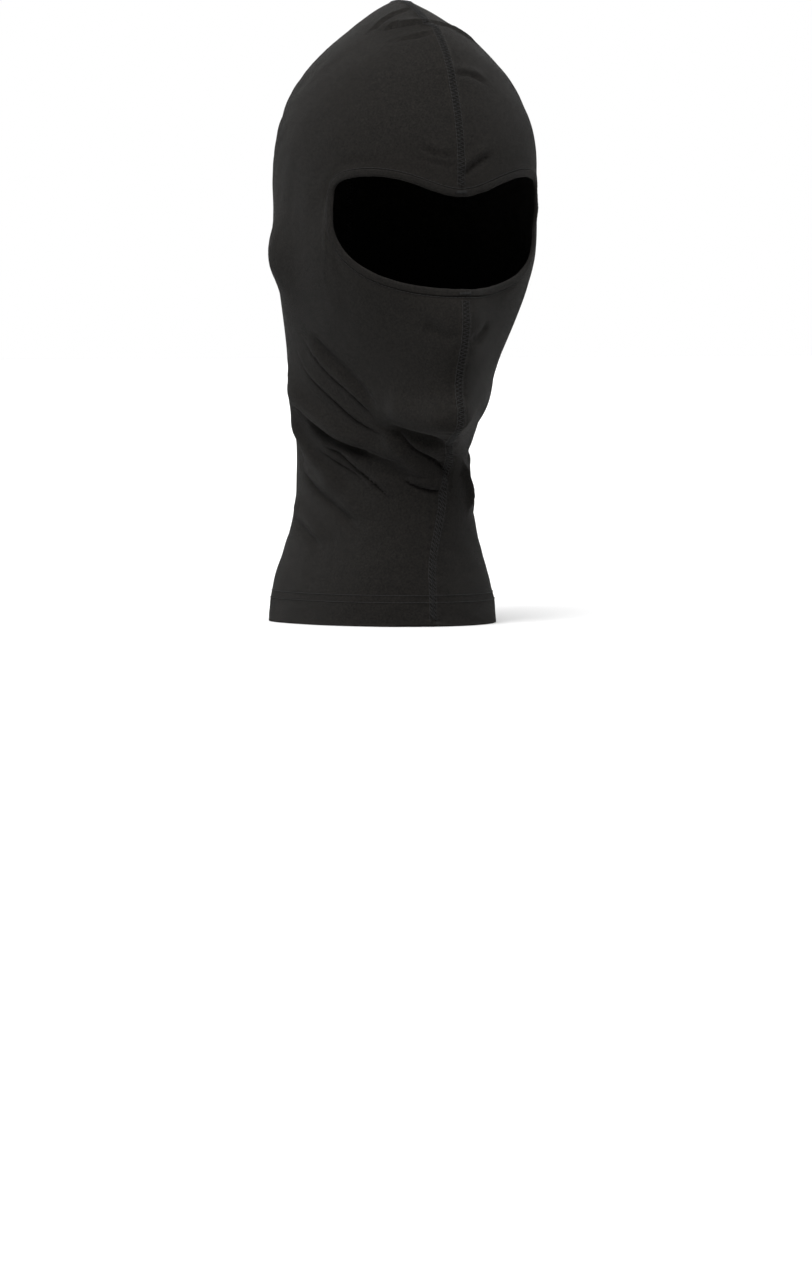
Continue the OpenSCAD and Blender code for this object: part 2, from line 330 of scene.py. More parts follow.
def add_cloth(obj, group):
    cloth = obj.modifiers.new("cloth", "CLOTH")
    s = cloth.settings
    s.quality = 5
    s.mass = 0.15
    s.tension_stiffness = s.compression_stiffness = 12
    s.shear_stiffness = 4
    s.bending_stiffness = 0.35
    s.air_damping = 2
    s.tension_damping = s.compression_damping = s.shear_damping = 8
    s.vertex_group_mass = group
    s.pin_stiffness = 5
    s.rest_shape_key = obj.data.shape_keys.key_blocks["cut"]
    s.effector_weights.gravity = 0.3
    c = cloth.collision_settings
    c.distance_min = 0.5 * MM
    c.use_self_collision = True
    c.self_distance_min = 1.2 * MM
    cloth.point_cache.frame_end = SIM_FRAMES
    return cloth


def simulate(net, push):
    """How far the cloth simulation moves each point of the net. push is where folds start."""
    scene = bpy.context.scene
    uneven = push + smooth_noise(net.shape[:2], 6, seed=4) * 0.6 * MM
    start = net + normals_of(net) * uneven[..., None]
    obj = mesh_of("simulated", [dict(net=start, closed=True)])
    places = np.zeros(len(obj.data.vertices), int)
    obj.data.attributes["place"].data.foreach_get("value", places)
    obj.shape_key_add(name="Basis")
    cut = obj.shape_key_add(name="cut")
    cut.data.foreach_set("co", longer_cut(net).reshape(-1, 3)[places].ravel())
    weights = hold_weights(net).ravel()[places]
    group = obj.vertex_groups.new(name="held")
    for i, w in enumerate(weights):
        group.add([i], float(w), "REPLACE")
    neck = mesh_of("neck_form", [dict(net=net - normals_of(net) * NECK_GAP, closed=True)])
    neck.modifiers.new("collision", "COLLISION")
    neck.collision.thickness_outer = 0.4 * MM
    neck.collision.cloth_friction = 8
    add_cloth(obj, "held")
    scene.frame_start, scene.frame_end = 1, SIM_FRAMES
    for f in range(1, SIM_FRAMES + 1):
        scene.frame_set(f)
    mesh = obj.evaluated_get(bpy.context.evaluated_depsgraph_get()).data
    flat = np.zeros(len(mesh.vertices) * 3)
    mesh.vertices.foreach_get("co", flat)
    moved = np.zeros((net.shape[0] * net.shape[1], 3))
    moved[places] = flat.reshape(-1, 3)
    scene.frame_set(1)
    for o in (obj, neck):
        data = o.data
        bpy.data.objects.remove(o)
        bpy.data.meshes.remove(data)
    move = moved.reshape(net.shape) - net
    size = np.linalg.norm(move, axis=2, keepdims=True)
    print("largest move, mm:", round(float(size.max()) / MM, 1))
    return softened(move * np.minimum(1, MOST_MOVE / np.maximum(size, 1e-9)), 3)


sim_shares = np.linspace(0, 1, SIM_ROWS)
sim_spots = np.arange(SIM_COLUMNS) * (len(cad_ring) / SIM_COLUMNS)
sim_net = refine_ring(refine_columns(cad_ring, sim_shares), sim_spots)

# %% [markdown]
# ## Folds with a place of their own
# Some folds belong to this hood and not to chance: thin pleats from the ear down to the throat,
# a round fold that hangs from the jaw, overlapping pleats at the crown where the two half panels
# come to a point, and short creases beside the seam on the brow. Each is a few places along its
# crease. The places were worked out beforehand with a separate program and are kept here as
# plain numbers, while depths, widths and swells were set by eye. The cloth sinks in at the
# crease and swells beside it on one side.

# %% Draw folds as lines on the hood
# Each: places (x, y, z in mm), depth of the crease, its width, the swell beside it (mm), and how
# crisp it is: 0 is a soft fold, 1 a pleat whose edge lies over the cloth below. The swell lies
# above the crease, or below it where the number is negative.
NECK_FOLDS = [
    ([(-61, 26, 163), (-57, 12, 150), (-51, -5, 138), (-42, -18, 126), (-34, -28, 119), (-29, -36, 115)],
     2.4, 2.4, 2.0, 0.7),
    ([(-62, 10, 170), (-57, 0, 160), (-51, -12, 149), (-45, -25, 139), (-38, -33, 130), (-32, -38, 121)],
     1.9, 2.0, 1.7, 0.7),
    ([(-54, 29, 128), (-49, 21, 118), (-42, 3, 111), (-36, -11, 107), (-28, -22, 101)], 4.4, 5.2, 1.0, 0.0),
    ([(-45, 15, 108), (-40, 1, 104), (-35, -8, 96), (-30, -19, 86), (-23, -29, 74)], 2.8, 3.2, 2.6, 0.6),
    ([(-46, 23, 105), (-41, 6, 98), (-35, -8, 90), (-30, -20, 80)], 1.3, 2.6, 1.2, 0.5),
    ([(-31, -37, 118), (-20, -45, 109), (-9, -46, 99), (0, -39, 89), (2, -39, 84)], 3.8, 4.2, -3.4, 0.3),
    ([(-19, -31, 89), (-15, -34, 84), (-9, -37, 81), (0, -39, 80)], 3.2, 2.8, 2.2, 0.5),
    ([(13, -38, 98), (17, -33, 88), (21, -28, 78), (23, -26, 66)], -3.6, 3.6, 0.0, 0.0),
    ([(-50, 50, 92), (-46, 30, 82), (-38, 6, 70), (-30, -14, 56)], 2.6, 4.5, 2.2, 0.2),
    ([(-56, 66, 66), (-52, 34, 56), (-46, 8, 44)], 1.8, 4.5, 1.6, 0.0),
    ([(-60, 58, 152), (-57, 44, 136), (-52, 30, 124)], 1.4, 4.0, 1.0, 0.0),
    ([(-57, 50, 145), (-52, 14, 128), (-39, -11, 115), (-26, -30, 105), (-13, -38, 95), (-4, -39, 87)],
     -3.6, 8.0, 0.0, 0.0),
    ([(-56, 52, 133), (-51, 49, 115), (-46, 26, 96), (-39, -5, 78)], -3.0, 8.0, 0.0, 0.0),
    ([(-29, -41, 119), (-19, -53, 113), (-9, -63, 110), (0, -67, 108)], 6.0, 7.5, 0.0, 0.0),
    ([(-32, -48, 133), (-22, -63, 126), (-10, -83, 124), (1, -93, 128)], -2.6, 14.0, 0.0, 0.0),
    ([(-62, 2, 176), (-58, -8, 166), (-49, -23, 152), (-40, -35, 139), (-31, -44, 126)], 2.4, 5.5, 0.0, 0.0),
]
BACK_FOLDS = [
    ([(-36, 86, 118), (-18, 96, 124), (6, 99, 122), (30, 90, 114)], 1.8, 6.0, 2.0, 0.0),
    ([(-28, 92, 84), (0, 100, 88), (30, 92, 80), (44, 76, 70)], 1.6, 6.0, 1.8, 0.0),
    ([(-48, 74, 54), (-26, 94, 60), (0, 101, 58)], 1.4, 5.5, 1.4, 0.0),
]
CROWN_FOLDS = [
    ([(-30, -18, 352), (-14, -22, 363), (-3, -26, 366)], 3.2, 1.6, 0.9, 1.0),
    ([(-24, -27, 354), (-10, -40, 357), (1, -46, 357)], 2.9, 1.6, 1.7, 1.0),
    ([(-24, -43, 346), (-12, -52, 349), (-2, -54, 351)], 2.1, 1.4, 1.2, 0.9),
    ([(-1, -46, 357), (13, -41, 356), (22, -38, 351), (34, -32, 345)], 2.6, 1.6, 1.4, 0.9),
    ([(10, -2, 366), (24, 4, 359), (38, 14, 349)], 1.2, 2.6, 1.2, 0.5),
    ([(2, -77, 326), (14, -75, 326), (24, -73, 320)], 1.9, 2.2, 1.2, 0.4),
    ([(1, -95, 267), (8, -94, 273), (20, -90, 280)], 2.4, 2.6, 1.6, 0.5),
    ([(-24, -89, 285), (-13, -92, 279), (-3, -94, 279)], 1.2, 1.8, 0.8, 0.4),
    ([(-22, -90, 276), (-9, -93, 273), (-3, -94, 272)], 0.7, 1.8, 0.5, 0.4),
    ([(-18, -76, 329), (-9, -78, 328), (-2, -79, 327)], 0.5, 1.6, 0.4, 0.3),
]
# Folds that are repeated on the other side, and how far each copy is moved (mm).
MIRRORED = {0: 3, 2: -4, 3: 2, 8: 4, 9: -2, 10: 1}
UNDER_NOSE = [([(-22, -88, 180), (-11, -96, 172), (-3, -101, 171)], 2.2, 6.0, 0.0, 0.0),
              ([(22, -88, 180), (11, -96, 172), (3, -101, 171)], 2.2, 6.0, 0.0, 0.0)]
WEAKER = 0.6


def other_side(fold, shift):
    """A weaker copy of a fold on the other side of the hood, moved by shift (mm)."""
    places, depth, width, swell, crisp = fold
    return ([(-x, y + shift, z + shift) for x, y, z in places],
            WEAKER * depth, width, -WEAKER * swell, crisp)


def fold_push(net, fold):
    """How far a fold moves each point of the net outwards."""
    places, depth, width, swell, crisp = fold
    places = np.array(places, float) * MM
    length = lengths_of(places)
    line = smooth_at(places, length, np.linspace(0, length[-1], 8 * len(places)))
    normals = normals_of(net)
    near = np.linalg.norm(net - line.mean(axis=0), axis=2) < length[-1] * 0.75 + 0.035
    points, outwards = net[near], normals[near]
    best = np.full(len(points), np.inf)
    side, along = np.zeros(len(points)), np.zeros(len(points))
    for k, (a, b) in enumerate(zip(line, line[1:])):
        run = b - a
        t = np.clip((points - a) @ run / (run @ run), 0, 1)
        away = points - (a + t[:, None] * run)
        high = np.sum(away * outwards, axis=1)
        away = away - high[:, None] * outwards
        distance = np.where(np.abs(high) < 0.016, np.linalg.norm(away, axis=1), np.inf)
        closer = distance < best
        best = np.where(closer, distance, best)
        sign = np.sign(np.sum(away * np.cross(outwards, run), axis=1))
        side = np.where(closer, sign, side)
        along = np.where(closer, (k + t) / (len(line) - 1), along)
    best = np.minimum(best, 0.2)
    strength = fade(0, 0.22, along) * (1 - fade(0.75, 1, along)) * 0.85 + 0.15
    w = width * MM
    past_end = best * ((along <= 0) | (along >= 1))
    strength = strength * (1 - fade(0.6 * w, 2.5 * w, past_end))
    crease = -depth * np.exp(-(best / (0.62 * w)) ** 2)
    place = best * side * (1 if swell >= 0 else -1)
    swelling = abs(swell) * (np.exp(-((place - 1.5 * w) / (1.25 * w)) ** 2)
                             + 0.35 * np.exp(-((place + 1.7 * w) / (1.4 * w)) ** 2))
    lap = np.where(place > 0, abs(swell) * np.exp(-(best / (2.6 * w)) ** 1.6),
                   -depth * np.exp(-(best / (1.1 * w)) ** 1.3))
    push = np.zeros(net.shape[:2])
    push[near] = ((crease + swelling) * (1 - crisp) + lap * crisp) * strength * MM
    return push


left_folds = [other_side(NECK_FOLDS[k], shift) for k, shift in MIRRORED.items()]
neck_folds = NECK_FOLDS + left_folds + BACK_FOLDS
start_push = sum(fold_push(sim_net, fold) for fold in neck_folds)
print("folds drawn:", len(neck_folds) + len(CROWN_FOLDS) + len(UNDER_NOSE))
print("deepest at the neck, mm:", round(float(-start_push.min()) / MM, 1))

# %% Run the simulation
sim_move = simulate(sim_net, start_push)
print("mean move, mm:", round(float(np.linalg.norm(sim_move, axis=2).mean()) / MM, 2))

# %% [markdown]
# ## The finished surface
# The fine net takes the plain shape from the CAD, the simulated move and the folds drawn above.
# Along the seams two cloth edges and their threads make a slightly raised band, which puckers
# where the stitches pull. At the crown the seam steps a few millimetres aside under the pleat.

# %% Make the fine net
PANEL_COLUMNS, PANEL_ROWS = 148, 286
BAND = 2.9 * MM


def crowded_spots():
    """Places of the fine columns across one half, closer together beside the two seams."""
    u = np.linspace(0, HALF, 4001)
    even = np.interp(u, np.arange(HALF + 1), ring_gaps())
    crowd = 1 + 2.2 * np.exp(-(u / 0.55) ** 2) + 1.6 * np.exp(-((HALF - u) / 1.1) ** 2)
    total = np.concatenate([[0], np.cumsum((even * crowd)[1:] + (even * crowd)[:-1])])
    return np.interp(np.linspace(0, total[-1], PANEL_COLUMNS + 1), total, u)


def ring_gaps():
    """Distance between neighbouring CAD columns at the level of the hem."""
    hem = cad_ring[:, -1]
    steps = np.linalg.norm(np.roll(hem, -1, 0) - hem, axis=1)
    return (steps[:HALF + 1] + np.roll(steps, 1)[:HALF + 1]) / 2


spots = crowded_spots()
ring_spots = np.concatenate([spots[:-1], 2 * HALF - spots[:0:-1]])
down = np.linspace(0, 1, 2001)
row_crowd = np.cumsum(1 + 1.2 * np.exp(-(down / 0.03) ** 2) + 0.8 * np.exp(-((1 - down) / 0.03) ** 2))
row_shares = np.interp(np.linspace(row_crowd[0], row_crowd[-1], PANEL_ROWS), row_crowd, down)
base_net = refine_ring(refine_columns(cad_ring, row_shares), ring_spots)
move = refine_ring(np.array([smooth_at(c, sim_shares, row_shares) for c in sim_move]),
                   ring_spots * SIM_COLUMNS / len(cad_ring))
FRONT, CROWN = 0, PANEL_COLUMNS
FOLD_SHARE = 1.1
THROAT_TWIST = 8 * MM
CROWN_STEP = 4 * MM
print("fine net:", base_net.shape)

# %% Add the folds, the seam bands and small unevenness


def seam_distance(net):
    """Distance of each point from the nearer seam, along the cloth."""
    return np.abs(net[..., 0])


def seam_bands(net):
    """Raised band along the seams, with uneven puckers beside it."""
    d = seam_distance(net)
    band = 0.45 * MM * (1 - fade(BAND - 0.5 * MM, BAND + 0.7 * MM, d))
    groove = -0.22 * MM * np.exp(-(d / (0.5 * MM)) ** 2)
    rows = np.arange(net.shape[1])
    rng = np.random.default_rng(11)

    def wave():
        return rng.uniform(0.5, 1) * np.sin(rows * rng.uniform(0.25, 1.3) + rng.uniform(0, 6))

    left, right = [sum(wave() for _ in range(6)) for _ in range(2)]
    pucker = np.where(net[..., 0] > 0, left[None, :], right[None, :])
    beside = np.exp(-((d - BAND) / (3.2 * MM)) ** 2) * (d > 0.4 * MM)
    return band + groove + 0.10 * MM * pucker * beside


push = seam_bands(base_net) + smooth_noise(base_net.shape[:2], 14, seed=2) * 0.28 * MM
for fold in CROWN_FOLDS + UNDER_NOSE:
    push += fold_push(base_net, fold)
for fold in neck_folds:
    push += FOLD_SHARE * fold_push(base_net, fold)
net = base_net + move
net = net + normals_of(net) * push[..., None]


def step_aside(net):
    """Shift the seam: at the crown, above the pleat that covers it, and where the throat twists."""
    above = fade(0.3545, 0.3570, base_net[..., 2]) * (1 - fade(0.000, 0.040, base_net[..., 1]))
    shift = -CROWN_STEP * above * np.exp(-(base_net[..., 0] / 0.026) ** 2)
    low = fade(0.030, 0.078, base_net[..., 2]) * (1 - fade(0.094, 0.118, base_net[..., 2]))
    twist = THROAT_TWIST * low * (1 - fade(-0.010, 0.020, base_net[..., 1]))
    net[..., 0] += shift + twist * np.exp(-(base_net[..., 0] / 0.028) ** 2)
    return net


net = step_aside(net)
net[:, -1, 2] = 0.9 * MM
net[:, -2, 2] = np.maximum(net[:, -2, 2], 1.2 * MM)
normals = normals_of(net)
print("finished skin, mm:", [round(float(w) / MM, 1) for w in np.ptp(net.reshape(-1, 3), axis=0)])

# %% [markdown]
# ## The two panels
# Each half is one piece of single jersey about 0.7 mm thick. At the neck it turns up inside for
# 20 mm. The knit's wales run upwards, so each panel has its own flat map in real size: round the
# neck like a tube, over the head as it spreads from the ear.

# %% Cut the skin into panels and turn up the hem
CLOTH = 0.7 * MM
HEM = 20 * MM
HEM_INSIDE = 1.75 * MM
EAR = np.array((0, 0.008, 0.215))
HEAD_RADIUS, NECK_RADIUS = 0.088, 0.068


def flat_map(points):
    """Place on the flat knit of each point of the plain shape, in metres."""
    q = points - EAR
    x = np.abs(q[..., 0])
    high = np.maximum(q[..., 2], 0)
    side = np.hypot(q[..., 1], high)
    radius = NECK_RADIUS + (HEAD_RADIUS - NECK_RADIUS) * fade(-0.110, -0.020, q[..., 2])
    spread = radius * np.arctan2(side, x) / np.maximum(side, 1e-6)
    return np.stack([spread * q[..., 1], np.where(q[..., 2] > 0, spread * high, q[..., 2])], axis=-1)


def turned_up(part, outwards):
    """Rows that go round the hem's edge and up inside, after the last row of a panel."""
    rows = []
    bottom = part[:, -1]
    for angle in (40, 80, 120, 160):
        a = math.radians(angle)
        depth = HEM_INSIDE / 2 * (1 - math.cos(a))
        drop = 0.85 * MM * math.sin(a)
        rows.append(bottom - outwards[:, -1] * depth - np.array((0, 0, drop)))
    for height in np.linspace(1.5 * MM, HEM, 18):
        row = []
        for c, n in zip(part, outwards):
            zs, cs = c[::-1, 2][:60], c[::-1][:60]
            row.append(between(height, zs, cs) - unit(n[-8] * (1, 1, 0)) * HEM_INSIDE)
        rows.append(np.array(row))
    return np.stack(rows, axis=1)


def panel(name, columns):
    part, outwards = net[columns].copy(), normals[columns]
    hem = turned_up(part, outwards)
    flat = flat_map(base_net[columns])
    flat_hem = np.repeat(flat[:, -1:], hem.shape[1], axis=1)
    flat_hem[..., 1] -= np.linspace(0.5 * MM, HEM + 2 * MM, hem.shape[1])
    whole = np.concatenate([part, hem], axis=1)
    wear = np.exp(-(np.arange(whole.shape[1]) / 10.0) ** 2)[None, :] * np.ones((len(whole), 1))
    wear = np.maximum(wear, np.exp(-((whole[..., 2] - 0.5 * MM) / (2.5 * MM)) ** 2))
    wear = np.maximum(wear, 0.7 * np.exp(-((seam_distance(whole) - BAND) / (0.9 * MM)) ** 2))
    uv = np.concatenate([flat, flat_hem], axis=1)
    obj = mesh_of(name, [dict(net=whole, uv=uv, marks={"wear": wear})], keys=["wear"])
    thick = obj.modifiers.new("thickness", "SOLIDIFY")
    thick.thickness = CLOTH
    thick.offset = -1
    print(name, "faces:", len(obj.data.polygons))
    return obj


left_columns = np.arange(0, PANEL_COLUMNS + 1)
right_columns = np.arange(PANEL_COLUMNS, 2 * PANEL_COLUMNS + 1) % (2 * PANEL_COLUMNS)
left_panel = panel("left_half_of_knit", left_columns)
right_panel = panel("right_half_of_knit", right_columns)

# %% [markdown]
# ## Lines to sew along
# Every thread follows the cloth: beside a seam, round the eye opening or round the neck hem.
# These helpers read such lines off the finished net, with the outward direction at each point.

# %% Lines on the cloth


def beside_seam(column, offset):
    """Line beside a seam at a distance (m) along the cloth, towards higher columns if positive."""
    step = 1 if offset >= 0 else -1
    picks = [(column + step * k) % len(net) for k in range(30)]
    points, ups = net[picks], normals[picks]
    gaps = np.linalg.norm(np.diff(points, axis=0), axis=2)
    run = np.concatenate([np.zeros((1, net.shape[1])), np.cumsum(gaps, axis=0)])
    line, up = [], []
    for j in range(net.shape[1]):
        line.append(between(abs(offset), run[:, j], points[:, j]))
        up.append(between(abs(offset), run[:, j], ups[:, j]))
    return np.array(line), unit(np.array(up))


def from_eye(distance):
    """Ring at a distance from the panels' edge at the eye opening."""
    line, up = [], []
    for c, n in zip(net, normals):
        run = lengths_of(c[:40])
        line.append(between(distance, run, c[:40]))
        up.append(between(distance, run, n[:40]))
    return np.array(line), unit(np.array(up))


def at_height(z):
    """Ring round the neck at a height above the hem's edge."""
    line, up = [], []
    for c, n in zip(net, normals):
        c, n = c[::-1][:60], n[::-1][:60]
        line.append(between(z, c[:, 2], c))
        up.append(between(z, c[:, 2], n))
    return np.array(line), unit(np.array(up))


def even(line, up, spacing, closed=False, start=0.0, end=0.0):
    """Points at an even spacing along a line, without its first and last stretch."""
    if closed:
        line, up = np.concatenate([line, line[:1]]), np.concatenate([up, up[:1]])
    run = lengths_of(line)
    count = max(2, round((run[-1] - start - end) / spacing))
    at = np.linspace(start, run[-1] - end, count + 1)
    if closed:
        at = at[:-1]
    return between(at, run, line), unit(between(at, run, up))


def tube(path, ups, radius, sides=6, closed=False):
    """Net of a round thread along a path."""
    run = np.roll(path, -1, 0) - np.roll(path, 1, 0) if closed else np.gradient(path, axis=0)
    ahead = unit(run)
    side = unit(np.cross(ahead, ups))
    up = np.cross(side, ahead)
    size = np.full((len(path), 1), radius)
    if not closed:
        size[[0, -1]] *= 0.05
    turns = np.linspace(0, 2 * math.pi, sides, endpoint=False)
    rings = [path + size * (math.cos(a) * side + math.sin(a) * up) for a in turns]
    return dict(net=np.array(rings), closed=True, around=closed, solid=True)


# %% [markdown]
# ## Threads
# A flatlock seam shows two straight rows of needle thread and a cover thread that crosses from
# one row to the other like a ladder. Each needle stitch is 2.4 mm long. It rises over the knit
# and dips back into its hole. The thread is a matt black polyester about 0.4 mm thick.

# %% Sew rows of stitches
STITCH = 2.4 * MM
THREAD = 0.19 * MM
ROW_HALF = 2.2 * MM
SAMPLES = 6
IN_HOLE, ABOVE = -0.30 * MM, 0.34 * MM
COVER_LIFT, COVER_RISE = 0.22 * MM, 0.16 * MM


def stitch_row(line, ups, closed=False, start=0.0, end=0.0):
    """Thread that rises over each stitch and dips in between."""
    path, up = even(line, ups, STITCH / SAMPLES, closed, start, end)
    count = len(path) // SAMPLES * SAMPLES
    phase = np.arange(len(path)) / SAMPLES * (len(path) / count if closed and count else 1)
    lift = IN_HOLE + (ABOVE - IN_HOLE) * np.abs(np.sin(math.pi * phase)) ** 0.8
    return tube(path + up * lift[:, None], up, THREAD, closed=closed)


def ladder(line_a, ups_a, line_b, ups_b, start=0.0, end=0.0):
    """Cover thread that goes from one row to the other and back at every stitch."""
    a, ua = even(line_a, ups_a, STITCH / 2, start=start, end=end)
    b, ub = even(line_b, ups_b, STITCH / 2, start=start, end=end)
    path, up = [], []
    for k in range(min(len(a), len(b)) - 1):
        on_a = k % 2 == 0
        p, q = (a[k], b[k + 1]) if on_a else (b[k], a[k + 1])
        up_p, up_q = (ua[k], ub[k + 1]) if on_a else (ub[k], ua[k + 1])
        for t in (0.0, 0.25, 0.5, 0.75):
            n = unit(up_p * (1 - t) + up_q * t)
            rise = COVER_LIFT + COVER_RISE * math.sin(math.pi * t)
            path.append(p * (1 - t) + q * t + n * rise)
            up.append(n)
    return tube(np.array(path), np.array(up), THREAD)


def sew_seam(name, column, start):
    """Threads of one flatlock seam: (needle rows, cover thread)."""
    lines = [beside_seam(column, s * ROW_HALF) for s in (-1, 1)]
    inner = [beside_seam(column, s * (ROW_HALF - 0.35 * MM)) for s in (-1, 1)]
    inside = [(line - up * (CLOTH + 0.1 * MM), -up) for line, up in inner]
    end = 1.6 * MM
    needle = [stitch_row(line, up, start=start, end=end) for line, up in lines]
    cover = [ladder(*inner[0], *inner[1], start=start, end=end),
             ladder(*inside[0], *inside[1], start=start, end=22 * MM)]
    return mesh_of(name + "_needle_rows", needle), mesh_of(name + "_ladder", cover)


SEAM_START = 4.6 * MM
crown_needles, crown_ladder = sew_seam("crown_seam", CROWN, SEAM_START)
front_needles, front_ladder = sew_seam("front_seam", FRONT, SEAM_START)
print("crown needle faces:", len(crown_needles.data.polygons))

# %% [markdown]
# ## Eye hem
# The eye opening ends in a narrow strip of the same knit, rolled over the panels' edge round a
# thin elastic. It is about 4 mm wide, a little uneven, and puckered where its stitch line pulls.

# %% Roll the hem
HEM_POINTS = 620
EDGE_OUT = 1.9 * MM
EDGE_IN = 2.35 * MM
ROLL_HALF = 1.15 * MM
STRIP = 0.6 * MM


def eye_frame():
    """Points round the panels' edge, the direction away from the opening, and outwards."""
    edge, up = from_eye(0)
    beyond, _ = from_eye(2.5 * MM)
    run = lengths_of(np.concatenate([edge, edge[:1]]))
    at = np.linspace(0, run[-1], HEM_POINTS, endpoint=False)
    full = [np.concatenate([a, a[:1]]) for a in (edge, beyond - edge, up)]
    p, away, n = [between(at, run, a) for a in full]
    away = unit(away)
    n = unit(n - away * np.sum(n * away, axis=1, keepdims=True))
    return p, away, n, at, run[-1]


hem_p, hem_away, hem_n, hem_at, hem_length = eye_frame()


def binding_profile():
    """Section of the rolled strip: (distance from the panels' edge, height), round once."""
    mid = -CLOTH / 2
    outer, inner = [], []
    for t in np.linspace(0, 1, 4, endpoint=False):
        rise = math.sin(math.pi / 2 * min(1, t * 1.5 + 0.3))
        outer.append((EDGE_IN * (1 - t), ROLL_HALF * (0.80 + 0.20 * rise)))
    for a in np.linspace(0, math.pi, 9):
        outer.append((-math.sin(a) * EDGE_OUT, ROLL_HALF * math.cos(a)))
    for t in np.linspace(0.25, 1, 4):
        outer.append((EDGE_IN * t, -ROLL_HALF * (1 - 0.2 * t)))
    core = ROLL_HALF - STRIP
    for t in np.linspace(0.95, 0.1, 4):
        inner.append((EDGE_IN * t, -core * (1 - 0.15 * t)))
    for a in np.linspace(math.pi, 0, 7):
        inner.append((-math.sin(a) * (EDGE_OUT - STRIP), core * math.cos(a)))
    for t in np.linspace(0.1, 0.95, 4):
        inner.append((EDGE_IN * t, core * (1 - 0.15 * t)))
    return [(d, h + mid) for d, h in outer + inner]


def ring_wave(seed, low, high, parts=7):
    """Smooth unevenness round the hem, about -1 to 1."""
    rng = np.random.default_rng(seed)
    turn = hem_at / hem_length * 2 * math.pi
    wave = sum(np.sin(turn * rng.integers(low, high) + rng.uniform(0, 6)) for _ in range(parts))
    return wave / math.sqrt(parts)


def roll_hem():
    wide = 1 + 0.045 * ring_wave(3, 8, 40)
    pucker = 0.07 * MM * np.sin(hem_at / STITCH * 2 * math.pi) + 0.06 * MM * ring_wave(5, 30, 80)
    columns = []
    for d, h in binding_profile():
        outside = fade(0.2 * MM, EDGE_IN, np.full(HEM_POINTS, d)) * np.sign(h)
        height = h + pucker * outside
        columns.append(hem_p + hem_away * (d * wide)[:, None] + hem_n * height[:, None])
    grid = np.array(columns).transpose(1, 0, 2)
    around = lengths_of(np.array(binding_profile()))
    flat = np.zeros((HEM_POINTS + 1, len(columns) + 1, 2))
    flat[..., 0] = np.linspace(0, hem_length, HEM_POINTS + 1)[:, None]
    flat[..., 1] = np.append(around, around[-1] + STRIP)[None, :]
    return mesh_of("rolled_eye_hem", [dict(net=grid, closed=True, around=True, uv=flat, solid=True)])


eye_hem = roll_hem()
ELASTIC, ELASTIC_OUT = 0.38 * MM, 0.65 * MM
elastic_path = hem_p - hem_away * ELASTIC_OUT - hem_n * CLOTH / 2
elastic = mesh_of("elastic_in_eye_hem", [tube(elastic_path, hem_n, ELASTIC, sides=10, closed=True)])
stitch_line, stitch_up = from_eye(EDGE_IN + 0.8 * MM)
eye_stitches = mesh_of("eye_hem_stitches", [stitch_row(stitch_line, stitch_up, closed=True)])
print("eye hem length, mm:", round(hem_length / MM))

# %% [markdown]
# ## Bar tacks
# Where a seam runs into the eye hem, a short dense zigzag holds the layers. It shows as a small
# thickened bar across the seam.

# %% Sew the bar tacks
TACK_LONG, TACK_WIDE, TACK_CROSSINGS = 6.4 * MM, 1.9 * MM, 26
TACK_FROM_EDGE = 0.9 * MM
TACK_THREAD = 0.2 * MM


def bar_tack(name, centre):
    """Dense zigzag on top of the hem. centre is the seam's place along the hem, in metres."""
    path, up = [], []
    for k in range(TACK_CROSSINGS + 1):
        along = centre + TACK_LONG * (k / TACK_CROSSINGS - 0.5)
        i = (along / hem_length * HEM_POINTS) % HEM_POINTS
        lo, f = int(i), i % 1
        hi = (lo + 1) % HEM_POINTS
        p, away, n = [a[lo] * (1 - f) + a[hi] * f for a in (hem_p, hem_away, hem_n)]
        swing = TACK_WIDE / 2 * (1 if k % 2 else -1)
        for t, rise in ((0, 0.05), (0.5, 0.30)):
            d = TACK_FROM_EDGE + swing * (1 - 2 * t)
            path.append(p + away * d + n * (ROLL_HALF - CLOTH / 2 + rise * MM))
            up.append(n)
    return mesh_of(name, [tube(np.array(path), np.array(up), TACK_THREAD)])


lower_tack = bar_tack("bar_tack_below_eyes", 0.0)
panel_edge = from_eye(0)[0]
edge_run = lengths_of(np.concatenate([panel_edge, panel_edge[:1]]))
upper_tack = bar_tack("bar_tack_above_eyes", float(edge_run[CROWN]))
print("from lower to upper tack along the hem, mm:", round(float(edge_run[CROWN]) / MM))

# %% [markdown]
# ## Neck hem stitching and care label
# The turned-up hem is held by two needle rows outside and their cover thread inside. A small
# blank label of satin tape is sewn into the nape.

# %% Sew the neck hem
HEM_ROWS = (14.4 * MM, 18.6 * MM)
hem_rows = [at_height(z) for z in HEM_ROWS]
neck_needles = mesh_of("neck_hem_needle_rows", [stitch_row(*row, closed=True) for row in hem_rows])
inside_rows = [(line - up * (HEM_INSIDE + 0.05 * MM), -up) for line, up in hem_rows]
neck_ladder = mesh_of("neck_hem_ladder_inside", [ladder(*inside_rows[0], *inside_rows[1])])

# %% Make the care label and sew it in
LABEL_WIDE, LABEL_LOW, LABEL_HIGH = 24 * MM, 34 * MM, 66 * MM
LABEL_IN = CLOTH + 0.5 * MM
LABEL_EDGE = 1.5 * MM


def back_point(x, z, inwards):
    line, up = beside_seam(CROWN, x)
    line, up = line[::-1][:110], up[::-1][:110]
    return between(z, line[:, 2], line) - unit(between(z, line[:, 2], up)) * inwards


